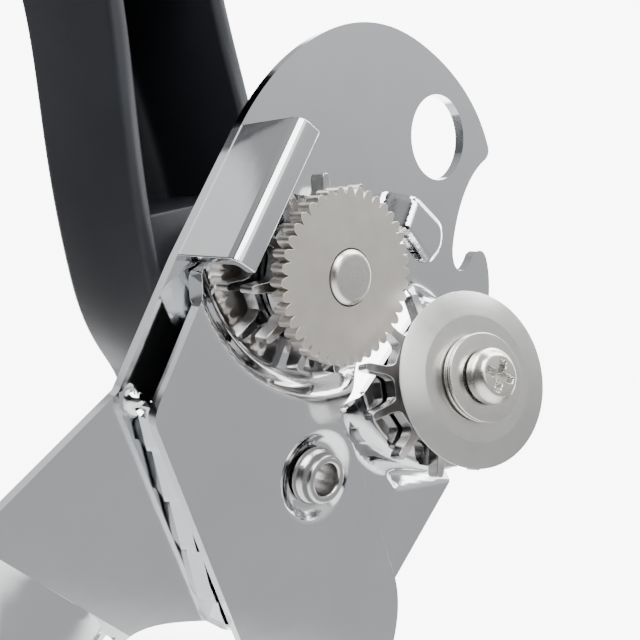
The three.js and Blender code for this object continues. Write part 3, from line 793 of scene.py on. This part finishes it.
def skin_normal(rows, r, i):
    """Outward direction of a skin of rows at one of its points."""
    last_row, last = len(rows) - 1, len(rows[0]) - 1
    down = rows[min(r + 1, last_row)][i] - rows[max(r - 1, 0)][i]
    across = rows[r][min(i + 1, last)] - rows[r][max(i - 1, 0)]
    normal = down.cross(across)
    if normal.length < 1e-12:
        return FORWARD
    normal.normalize()
    return normal if normal.y < 0.02 else -normal


def handles():
    rear_neck = ((-37.4, -9.8), (-18.6, -19.9), HEAD)
    front_neck = ((FRONT_HANDLE_X - HANDLE_W / 2, -38), (FRONT_HANDLE_X + HANDLE_W / 2, -38), 0.0)
    channel("rear_handle", "rear", REAR_HANDLE_X, HEAD + 1.0, rear_neck)
    channel("front_handle", "front", FRONT_HANDLE_X, 1.0, front_neck)


# ---------------------------------------------------------------- tab and rim guide


def folded_strip(name, section, along, place, body):
    """Strip of sheet with a bent section, drawn along one direction, with softened edges."""
    count = len(section)
    steps = 14
    vertices, faces = [], []
    for step in range(steps + 1):
        for a, b in section:
            vertices.append(place @ Vector((a * MM, b * MM, along * MM * step / steps)))
    for step in range(steps):
        for i in range(count):
            j = (i + 1) % count
            a = step * count
            faces.append((a + i, a + j, a + count + j, a + count + i))
    faces.append(tuple(range(count)))
    faces.append(tuple(range(steps * count, (steps + 1) * count)))
    mesh = mesh_of(name, vertices, faces)
    made = piece(name, mesh, PLATING, body, [])
    soften(made, 0.25)
    return made


def side_tab():
    """Bracket folded up from the head's left side and over, in front of the feed wheel's rim."""
    base, front, lip, bend = HEAD - SHEET, 5.8, 3.1, 1.4
    section = [(0, base)] + arc(bend, front - bend, bend, 180, 90, 10)
    section += [(lip - 0.25, front), (lip, front - 0.25), (lip, front - SHEET)]
    section += arc(SHEET + 0.4, front - SHEET - 0.4, 0.4, 90, 180, 4)
    section += [(SHEET, base)]
    up = Vector((3.9, 15.7)).normalized()
    inwards = Vector((up.y, 0, -up.x))
    place = Matrix((inwards, FORWARD, Vector((up.x, 0, up.y)))).transposed().to_4x4()
    place.translation = at(-23.9, 21.6, 0)
    folded_strip("side_tab", section, 17, place, "rear")


def rim_guide():
    """Lug raised out of the head by an S bend."""
    corners = [(4.1, 33.9, 0.8), (12.8, 30.4, 1.2), (15.2, 33.4, 1.6), (14.2, 36.8, 1.6)]
    corners = rounded([*corners, (4.9, 38.8, 0.6)])
    closed = [*corners, corners[0]]

    def level(x, z):
        bend = off_line(x, z, (4.1, 33.9), (4.9, 38.8))
        rolled = 0.5 * (1 - smooth(off_path(x, z, closed), 0, 0.9))
        raised = smooth(-bend, -0.2, 2.4)
        return HEAD + (0.5 - rolled - HEAD) * raised - 0.08 * max(0.0, -bend - 2.4)

    made = pressed_sheet("rim_guide", corners, [], level, 0.35, "rear", [])


# ---------------------------------------------------------------- turned pieces


def pivot_pieces():
    top = 1.7
    seat = -DIMPLE_DEEP + 0.3
    back = PLATEAU - SHEET - DIMPLE_DEEP - 1.4
    profile = [
        (2.0, back - 1.0, 0.3),
        (3.6, back - 1.0, 0.5),
        (4.2, back - 0.4, 0.3),
        (4.2, back),
        (2.6, back),
        (2.6, seat),
        (3.6, seat, 0.2),
        (3.6, seat + 0.8, 0.35),
        (3.05, seat + 1.3, 0.3),
        (3.05, top, 0.45),
        (2.0, top, 0.4),
    ]
    turned("hollow_rivet", profile, PIVOT_FRAME, GEAR_STEEL, "rear", ["pivot_rivet"])


def crank_pieces():
    front = 4.0
    shaft = [
        (0.0001, -30.0),
        (3.3, -30.0),
        (3.3, front + 0.15, 0.25),
        (2.75, front + 0.7, 0.35),
        (0.0001, front + 0.7),
    ]
    turned("crank_shaft", shaft, CRANK_FRAME, SHAFT_ZINC, "crank", ["drive_shaft"], closed=False)


def cutter_pieces():
    wheel = [
        (3.3, -1.6),
        (9.4, -1.6, 0.3),
        (11.28, -0.16, 0.05),
        (11.3, 0.02, 0.04),
        (8.05, 0.7, 0.12),
        (6.5, 0.7),
        (3.3, 0.7),
    ]
    place, steel, node = CUTTER_FRAME, CUTTER_STEEL, ["cutter_wheel"]
    turned("cutting_wheel", wheel, place, steel, "cutter", node, segments=192)
    for name, low, high in (("cutter_washer_inner", 1.0, 1.5), ("cutter_washer_outer", 1.8, 2.3)):
        ring = [(3.3, low), (5.6, low, 0.12), (5.6, high, 0.16), (3.3, high)]
        turned(name + "_face", ring, CUTTER_FRAME, CUTTER_ZINC, "rear", [name])


def screw_head():
    """Pan head with a cross recess."""
    under = 2.7
    rim = 3.45
    rings = 22
    around = 96
    top = under + 2.2

    def crown(radius):
        edge = smooth(radius, 2.2, rim)
        return top - 0.25 * (radius / rim) ** 2 - 0.95 * edge**1.6

    def recess(x, y):
        arm = min(abs(x), abs(y))
        reach = max(abs(x), abs(y))
        wide = 0.42 - 0.06 * reach
        cut = (1 - smooth(arm, wide, wide + 0.16)) * (1 - smooth(reach, 1.75, 2.1))
        centre = 1 - smooth(math.hypot(x, y), 0.55, 0.95)
        return max(cut, centre) * (1.25 - 0.35 * reach / 2)

    vertices = [Vector((0, 0, crown(0) - recess(0, 0))) * MM]
    faces = []
    for ring in range(1, rings + 1):
        radius = rim * ring / rings
        for i in range(around):
            turn = math.tau * i / around
            x, y = radius * math.cos(turn), radius * math.sin(turn)
            vertices.append(Vector((x, y, crown(radius) - recess(x, y))) * MM)
    for z in (under + 0.5, under):
        for i in range(around):
            turn = math.tau * i / around
            vertices.append(Vector((rim * math.cos(turn), rim * math.sin(turn), z)) * MM)
    for i in range(around):
        faces.append((0, 1 + i, 1 + (i + 1) % around))
    for ring in range(rings + 1):
        a, b = 1 + ring * around, 1 + (ring + 1) * around
        for i in range(around):
            j = (i + 1) % around
            faces.append((a + i, b + i, b + j, a + j))
    last = 1 + (rings + 1) * around
    faces.append(tuple(range(last, last + around)))
    mesh = mesh_of("screw_head", vertices, faces)
    mesh.transform(CUTTER_FRAME @ Matrix.Rotation(math.radians(20), 4, "Z"))
    piece("screw_head", mesh, CUTTER_ZINC, "rear", ["cutter_screw"], sharp=50)


# ---------------------------------------------------------------- toothed pieces


def feed_wheel():
    """Wheel with rounded serrations and sharp valleys between them."""
    teeth, tip, deep = 40, 10.5, 1.15
    outline = []
    steps = 10
    for tooth in range(teeth):
        for i in range(steps):
            u = i / steps - 0.5
            radius = tip - deep * abs(2 * u) ** 2.6
            turn = math.tau * (tooth + u) / teeth
            outline.append((radius * math.cos(turn), radius * math.sin(turn)))
    bore = circle(0, 0, 3.45, 48)
    place, name = CRANK_FRAME, "feed_wheel_body"
    prism(name, outline, bore, 2.0, 4.0, place, NICKEL, "crank", ["feed_wheel"], 0.12)


def gear_outline(radius, root, teeth, phase):
    outline = []
    corners = [(-0.25, root), (-0.17, root + 0.35), (-0.115, root + 1.2), (-0.085, radius - 0.55)]
    corners += [(-0.06, radius - 0.12), (-0.03, radius)]
    corners += [(-u, r) for u, r in reversed(corners)]
    for tooth in range(teeth):
        for u, r in corners:
            turn = phase + math.tau * (tooth + u) / teeth
            outline.append((r * math.cos(turn), r * math.sin(turn)))
    return outline


GEAR_TEETH = 12


def gears():
    pitch = math.tau / GEAR_TEETH
    facing = math.atan2(CUTTER_Z - FEED_Z, CUTTER_X - FEED_X)
    feed = gear_outline(12.1, 8.4, GEAR_TEETH, facing + pitch / 2)
    bore = circle(0, 0, 3.6, 40)
    steel, crank, cutter = GEAR_STEEL, ["feed_gear"], ["cutter_gear"]
    prism("feed_gear_body", feed, bore, -1.4, 0.8, CRANK_FRAME, steel, "crank", crank, 0.22)
    cut = gear_outline(12.6, 8.4, GEAR_TEETH, 0.0)
    prism("cutter_gear_body", cut, bore, -8.1, -5.9, CUTTER_FRAME, steel, "cutter", cutter, 0.22)


# ---------------------------------------------------------------- crank key


def key_outline(inset):
    """Bar along its own X: a broad middle, a long wing and a shorter, narrower one."""
    long, short, wide = 50 - inset, 29 - inset, 11.6 - inset
    tip, point = 8.8 - inset, 7.6 - inset
    upper = curve((0, wide), (long * 0.4, wide), (long * 0.6, tip), (long - tip, tip), steps=22)
    upper += arc(long - tip, 0, tip, 90, 0, 14)[1:]
    start, narrow, broad = (-short + point, point), (-short * 0.5, point), (-short * 0.45, wide)
    lower = curve(start, narrow, broad, (0, wide), steps=18)
    lower = arc(-short + point, 0, point, 180, 90, 12) + lower[1:-1]
    half = lower + upper
    return half + [(x, -y) for x, y in reversed(half[1:-1])]


KEY_FRONT, KEY_BACK, KEY_WALL = -22.3, -49.0, 2.4
KEY_FLOOR = KEY_BACK + KEY_WALL


def crank_key():
    front, back, wall, floor = KEY_FRONT, KEY_BACK, KEY_WALL, KEY_FLOOR
    rings = [
        (5.0, back),
        (2.4, back),
        (1.3, back + 0.25),
        (0.55, back + 0.8),
        (0.15, back + 1.6),
        (0.0, back + 2.6),
        (0.0, front - 0.9),
        (0.12, front - 0.35),
        (0.5, front),
        (wall - 0.5, front),
        (wall - 0.12, front - 0.35),
        (wall, front - 0.8),
        (wall + 0.1, floor + 1.4),
        (wall + 0.5, floor + 0.4),
        (wall + 1.2, floor),
        (5.0, floor),
    ]
    vertices, faces = [], []
    count = len(key_outline(0))
    for inset, level in rings:
        vertices += [Vector((x, y, level)) * MM for x, y in key_outline(inset)]
    for r in range(len(rings) - 1):
        for i in range(count):
            j = (i + 1) % count
            faces.append((r * count + i, r * count + j, (r + 1) * count + j, (r + 1) * count + i))
    faces.append(tuple(range(count)))
    faces.append(tuple(range((len(rings) - 1) * count, len(rings) * count)))
    mesh = mesh_of("key_shell", vertices, faces)
    mesh.transform(KEY_FRAME)
    piece("key_shell", mesh, BLACK, "crank", ["crank_knob"], sharp=45)
    hub = [(3.6, floor - 0.4), (6.4, floor - 0.4), (6.4, front, 0.5), (3.6, front, 0.3)]
    made = turned("key_hub", hub, KEY_FRAME, BLACK, "crank", [])
    key_block()


def key_block():
    """Solid block across the hollow, round the hub."""
    build = bmesh.new()
    bmesh.ops.create_cube(build, size=MM)
    size = (18, 20.4, KEY_FRONT - 3 - KEY_FLOOR + 0.5)
    bmesh.ops.scale(build, vec=size, verts=build.verts)
    middle = (0, 0, (KEY_FLOOR - 0.5 + size[2] / 2) * MM)
    bmesh.ops.translate(build, vec=middle, verts=build.verts)
    mesh = bpy.data.meshes.new("key_block")
    build.to_mesh(mesh)
    build.free()
    mesh.transform(KEY_FRAME)
    made = piece("key_block", mesh, BLACK, "crank", [])
    soften(made, 0.5, 4)


# ---------------------------------------------------------------- hidden pieces keep their solids


def finish_carried_over():
    """Pieces that stay as they are get their finish and softened edges."""
    kept = {
        "pivot_washer": GEAR_STEEL,
        "cutter_post": GEAR_STEEL,
        "cutter_spacer": GEAR_STEEL,
        "shaft_bush": GEAR_STEEL,
        "gear_washer": GEAR_STEEL,
        "crank_washer": GEAR_STEEL,
        "crank_sleeve": GEAR_STEEL,
    }
    for name, material in kept.items():
        node = frame["nodes"][name]
        for slot in node.material_slots:
            slot.material = material
        soften(node, 0.12, 2)


# ---------------------------------------------------------------- studio


def camera():
    made = bpy.data.objects.new("camera", bpy.data.cameras.new("camera"))
    bpy.context.scene.collection.objects.link(made)
    made.data.lens = 40.5
    made.data.sensor_width = 36
    made.data.clip_start = 0.002
    forward = Vector((0.684, 0.726, 0.070)).normalized()
    right = Vector((0.699, -0.680, 0.219))
    right = (right - forward * right.dot(forward)).normalized()
    up = right.cross(forward)
    place = Matrix((right, up, -forward)).transposed().to_4x4()
    place.translation = PIVOT + Vector((-64.9, -63.0, 12.7)) * MM
    made.matrix_world = place
    bpy.context.scene.camera = made


def soft_light(name, place, target, size, power, tint=(1, 1, 1)):
    light = bpy.data.lights.new(name, "AREA")
    light.shape = "RECTANGLE"
    light.size, light.size_y = size
    light.energy = power
    light.color = tint
    made = bpy.data.objects.new(name, light)
    bpy.context.scene.collection.objects.link(made)
    made.location = PIVOT + Vector(place) * MM
    aim = PIVOT + Vector(target) * MM - made.location
    made.rotation_euler = aim.to_track_quat("-Z", "Y").to_euler()


class Room:
    """The pale room round the object: its brightness by direction."""

    def __init__(self):
        world = bpy.data.worlds.new("pale_room")
        bpy.context.scene.world = world
        world.use_nodes = True
        self.tree = world.node_tree
        self.shader = self.tree.nodes["Background"]

    node = Finish.node
    _feed = Finish._feed
    along = Finish.along

    def patch(self, way, direction, narrow, wide):
        """1 towards a direction and 0 away from it."""
        return self.along(way, tuple(Vector(direction).normalized())).step(narrow, wide)


def surroundings():
    """A white room ahead and a grey wall in front; dark at the sides, with a few bright panels."""
    room = Room()
    way = room.node("ShaderNodeTexCoord", {}, (), "Generated")
    ahead = room.patch(way, (0.684, 0.726, 0.0), 0.70, 0.84)
    facing = room.patch(way, (0.62, -0.74, 0.18), 0.25, 0.72)
    above = room.patch(way, (0, 0, 1), 0.0, 0.8)
    below = room.patch(way, (0, 0, -1), 0.25, 0.85)
    onlooker = room.patch(way, (-0.66, -0.68, 0.32), 0.72, 0.86)
    side_panel = room.patch(way, (-0.42, 0.85, 0.30), 0.972, 0.984)
    front_panel = room.patch(way, (-0.30, -0.89, 0.37), 0.94, 0.985)
    low_panel = room.patch(way, (-0.45, -0.70, -0.55), 0.86, 0.94)
    grey = 0.17 + facing * 0.45 + above * 0.45 + below * 0.3 + low_panel * 0.9
    grey = grey * (1.0 - onlooker * 0.9) + side_panel * 0.8 + front_panel * 2.4 + ahead * 8.5
    room._feed(room.shader.inputs["Strength"], grey)
    room.shader.inputs["Color"].default_value = (0.99, 0.995, 1.0, 1)


def pale_floor():
    """Floor under the object, which fades into the room further out."""
    low = cad_box[0][2] - 0.0005
    mesh = bpy.data.meshes.new("floor")
    reach = 1.2
    corners = [(x * reach, y * reach, low) for x, y in ((-1, -1), (1, -1), (1, 1), (-1, 1))]
    mesh.from_pydata(corners, [], [(0, 1, 2, 3)])
    made = Finish("pale_floor")
    x, y, _ = made.parts(made.place())
    away = (x * x + y * y).root()
    haze = made.grain(made.place(), 0.01, 3)
    made.set(
        Base_Color=made.shade(haze, (0.80, 0.80, 0.805), (0.84, 0.84, 0.84)),
        Roughness=0.7,
        Alpha=1.0 - away.step(0.08, 0.3),
    )
    mesh.materials.append(made.material)
    floor = bpy.data.objects.new("floor", mesh)
    bpy.context.scene.collection.objects.link(floor)


def studio():
    camera()
    surroundings()
    pale_floor()
    soft_light("key", (-330, -260, 420), (0, 0, 10), (0.4, 0.4), 5)
    soft_light("side", (480, 60, 200), (0, 0, 20), (0.3, 0.5), 2)
    soft_light("top", (160, -60, 480), (0, 0, 30), (0.4, 0.4), 4)


studio()
rear_sheet()
front_sheet()
handles()
side_tab()
rim_guide()
pivot_pieces()
crank_pieces()
cutter_pieces()
screw_head()
feed_wheel()
gears()
crank_key()
finish_carried_over()
bpy.context.view_layer.update()
